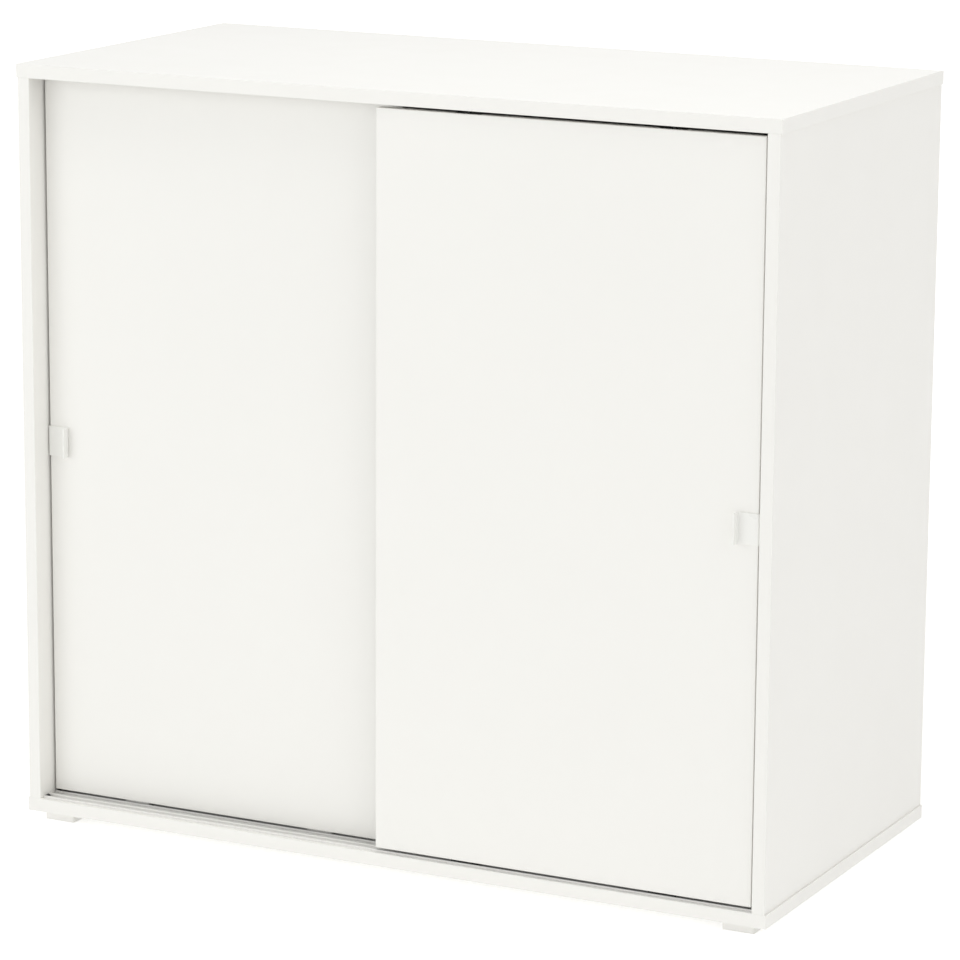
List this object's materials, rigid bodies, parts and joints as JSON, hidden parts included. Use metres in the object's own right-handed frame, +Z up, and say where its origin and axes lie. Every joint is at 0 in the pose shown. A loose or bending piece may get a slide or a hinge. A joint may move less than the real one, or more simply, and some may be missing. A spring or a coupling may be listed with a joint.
{
  "type": "sliding door cabinet",
  "caption": "Low white cabinet with two plain by-pass sliding doors, tab handles, shelves on both sides of a partition, and low feet.",
  "frame": {"origin": "on the floor, under the middle of the carcase", "axes": "+X to the right seen from the front, -Y to the front, +Z up"},
  "size_m": [0.95, 0.4775, 0.9],
  "materials": {
    "white_board": "white foil on particle board, matt",
    "white_door": "white foil on fibre board, matt",
    "white_hardboard": "white painted hardboard",
    "white_plastic": "white moulded plastic, satin",
    "black_plastic": "black moulded plastic",
    "white_metal": "white powder coat on steel sheet",
    "zinc_steel": "zinc plated steel",
    "beech": "raw beech"
  },
  "bodies": {
    "carcase": {"back_joint_strip": "white_plastic", "back_panel_left": "white_hardboard", "back_panel_right": "white_hardboard", "bottom_panel": "white_board", "bottom_rail": "white_plastic", "bottom_rail_screws": "zinc_steel", "cam_bolts": "zinc_steel", "cam_locks": "zinc_steel", "centre_partition": "white_board", "foot_front_left": "white_plastic", "foot_front_right": "white_plastic", "foot_rear_left": "white_plastic", "foot_rear_right": "white_plastic", "foot_screws": "zinc_steel", "left_side_panel": "white_board", "rail_end_plugs": "black_plastic", "right_side_panel": "white_board", "shelf_left_lower": "white_board", "shelf_left_upper": "white_board", "shelf_pins": "white_plastic", "shelf_right_lower": "white_board", "shelf_right_upper": "white_board", "top_panel": "white_board", "top_rail": "white_plastic", "top_rail_screws": "zinc_steel", "wall_bracket_left": "zinc_steel", "wall_bracket_right": "zinc_steel", "wall_bracket_screws": "zinc_steel", "wooden_dowels": "beech"},
    "front_door": {"front_door_bottom_glides": "black_plastic", "front_door_fitting_screws": "zinc_steel", "front_door_guide_spring_inner": "zinc_steel", "front_door_guide_spring_outer": "zinc_steel", "front_door_handle": "white_metal", "front_door_handle_screws": "zinc_steel", "front_door_panel": "white_door", "front_door_top_guides": "black_plastic"},
    "front_door_guide_pin_inner": {"front_door_guide_pin_inner": "black_plastic"},
    "front_door_guide_pin_outer": {"front_door_guide_pin_outer": "black_plastic"},
    "rear_door": {"rear_door_bottom_glides": "white_plastic", "rear_door_fitting_screws": "zinc_steel", "rear_door_guide_spring_inner": "zinc_steel", "rear_door_guide_spring_outer": "zinc_steel", "rear_door_handle": "white_metal", "rear_door_handle_screws": "zinc_steel", "rear_door_panel": "white_door", "rear_door_top_guides": "black_plastic"},
    "rear_door_guide_pin_inner": {"rear_door_guide_pin_inner": "black_plastic"},
    "rear_door_guide_pin_outer": {"rear_door_guide_pin_outer": "black_plastic"}
  },
  "joints": [
    {"name": "front_door_slide", "type": "slide", "parent": "carcase", "child": "front_door", "axis": [-1, 0, 0], "range_m": [0, 0.4454]},
    {"name": "rear_door_slide", "type": "slide", "parent": "carcase", "child": "rear_door", "axis": [1, 0, 0], "range_m": [0, 0.4454]},
    {"name": "front_door_guide_pin_inner_press", "type": "slide", "parent": "front_door", "child": "front_door_guide_pin_inner", "axis": [0, 0, -1], "range_m": [0, 0.006], "stiffness_N_per_m": 120, "springref_m": -0.01, "deforming": ["front_door_guide_spring_inner"]},
    {"name": "front_door_guide_pin_outer_press", "type": "slide", "parent": "front_door", "child": "front_door_guide_pin_outer", "axis": [0, 0, -1], "range_m": [0, 0.006], "stiffness_N_per_m": 120, "springref_m": -0.01, "deforming": ["front_door_guide_spring_outer"]},
    {"name": "rear_door_guide_pin_inner_press", "type": "slide", "parent": "rear_door", "child": "rear_door_guide_pin_inner", "axis": [0, 0, -1], "range_m": [0, 0.006], "stiffness_N_per_m": 120, "springref_m": -0.01, "deforming": ["rear_door_guide_spring_inner"]},
    {"name": "rear_door_guide_pin_outer_press", "type": "slide", "parent": "rear_door", "child": "rear_door_guide_pin_outer", "axis": [0, 0, -1], "range_m": [0, 0.006], "stiffness_N_per_m": 120, "springref_m": -0.01, "deforming": ["rear_door_guide_spring_outer"]}
  ]
}
